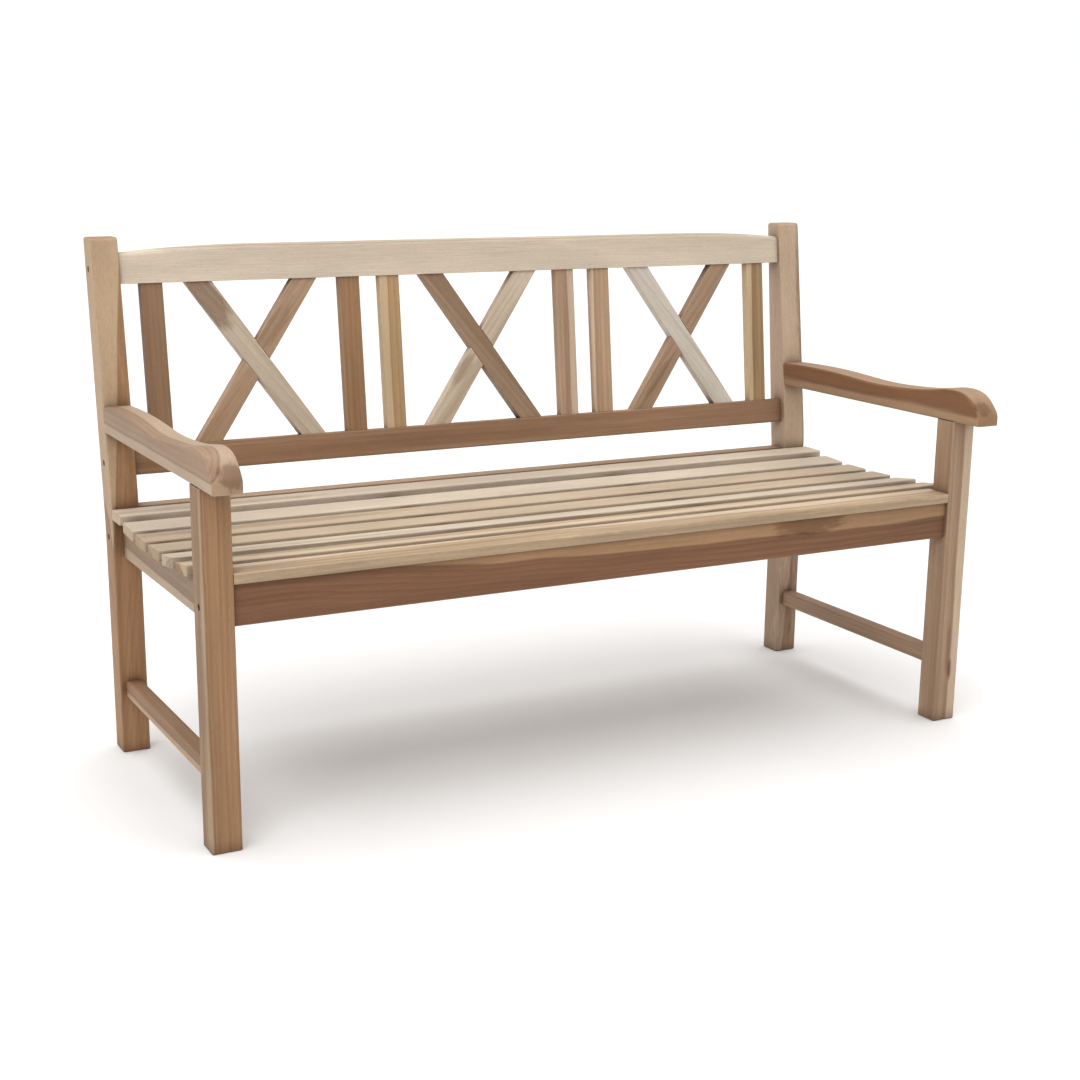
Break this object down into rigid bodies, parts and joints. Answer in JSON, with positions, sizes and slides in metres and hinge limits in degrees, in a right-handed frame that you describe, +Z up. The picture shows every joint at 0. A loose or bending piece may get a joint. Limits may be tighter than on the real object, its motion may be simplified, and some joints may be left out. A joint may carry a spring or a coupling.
{
  "type": "garden bench",
  "caption": "Slatted wooden garden bench with scooped seat, armrests and a raked back of upright slats and crosses.",
  "frame": {"origin": "on the floor, under the middle of the bench's bounding box", "axes": "+X along the bench to the right-hand end as seen from the front, +Y from the seat's front to its back, +Z up"},
  "size_m": [1.5, 0.6831, 0.922],
  "materials": {
    "teak": "sanded, untreated outdoor hardwood with mixed heartwood and sapwood",
    "steel": "plain stainless fasteners"
  },
  "bodies": {
    "root": {"arm_left": "teak", "arm_right": "teak", "back_cross_front_left": "teak", "back_cross_front_middle": "teak", "back_cross_front_right": "teak", "back_cross_rear_left": "teak", "back_cross_rear_middle": "teak", "back_cross_rear_right": "teak", "back_upright_1": "teak", "back_upright_2": "teak", "back_upright_3": "teak", "back_upright_4": "teak", "back_upright_5": "teak", "back_upright_6": "teak", "barrel_nuts": "steel", "frame_bolts": "steel", "front_apron": "teak", "front_leg_left": "teak", "front_leg_right": "teak", "lower_back_rail": "teak", "rear_post_left": "teak", "rear_post_right": "teak", "rear_seat_rail": "teak", "seat_bearer_left": "teak", "seat_bearer_right": "teak", "seat_slat_1": "teak", "seat_slat_2": "teak", "seat_slat_3": "teak", "seat_slat_4": "teak", "seat_slat_5": "teak", "seat_slat_6": "teak", "seat_slat_7": "teak", "side_rail_left": "teak", "side_rail_right": "teak", "side_stretcher_left": "teak", "side_stretcher_right": "teak", "slat_screws": "steel", "top_rail": "teak"}
  },
  "joints": []
}
